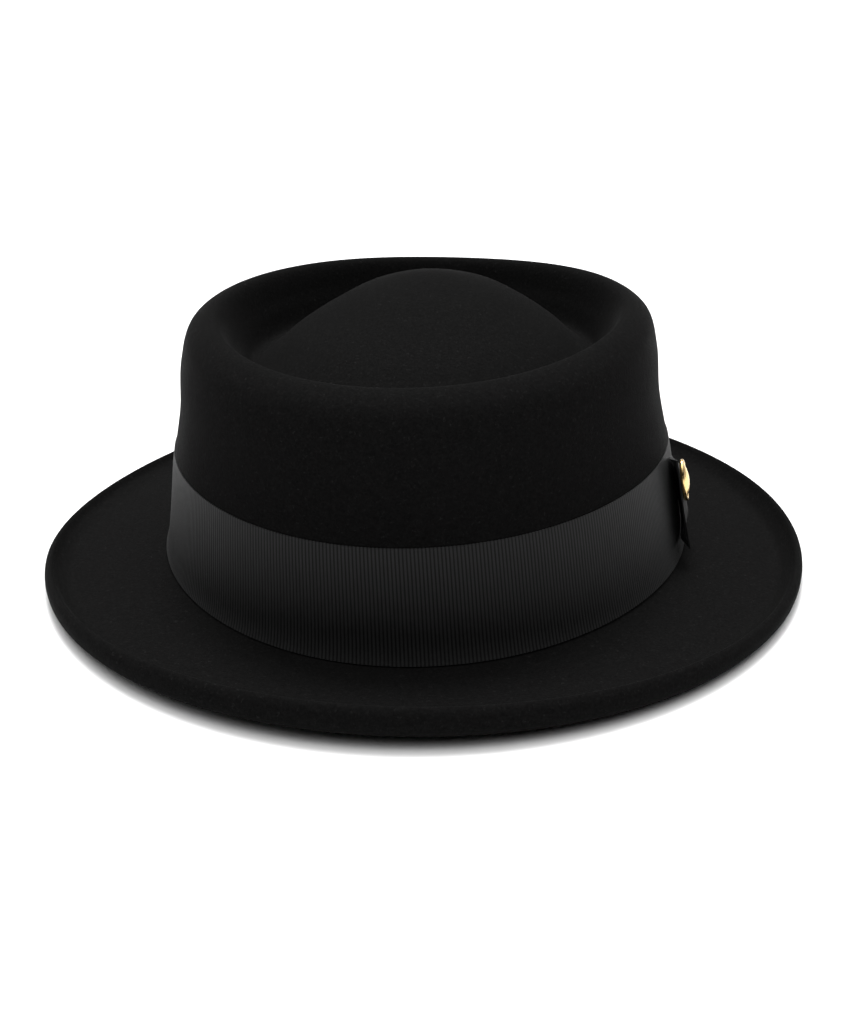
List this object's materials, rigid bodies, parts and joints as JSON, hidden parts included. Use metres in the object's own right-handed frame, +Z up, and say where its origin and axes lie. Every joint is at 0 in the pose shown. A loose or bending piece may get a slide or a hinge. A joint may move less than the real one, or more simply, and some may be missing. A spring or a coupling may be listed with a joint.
{
  "type": "fedora hat with a telescope crown (pork pie)",
  "caption": "Black felt hat with a rolled-rim telescope crown, a curled short brim, a ribbed ribbon with a flat side bow and a small gilt pin; worn on the head.",
  "frame": {"origin": "on the table the hat rests on, under the middle of its length and width", "axes": "+Z up through the crown, the front of the hat toward -Y, and the bow and pin on the +X side, which is the wearer's left"},
  "size_m": [0.2498, 0.2706, 0.0905],
  "materials": {
    "felt": "soft black wool felt with a short nap",
    "ribbon": "black grosgrain with fine ribs and a slight sheen",
    "gilt": "polished gilt"
  },
  "bodies": {
    "root": {"felt_body": "felt", "ribbon_band": "ribbon", "bow_loops": "ribbon", "bow_knot": "ribbon", "pin_plate": "gilt"}
  },
  "joints": []
}
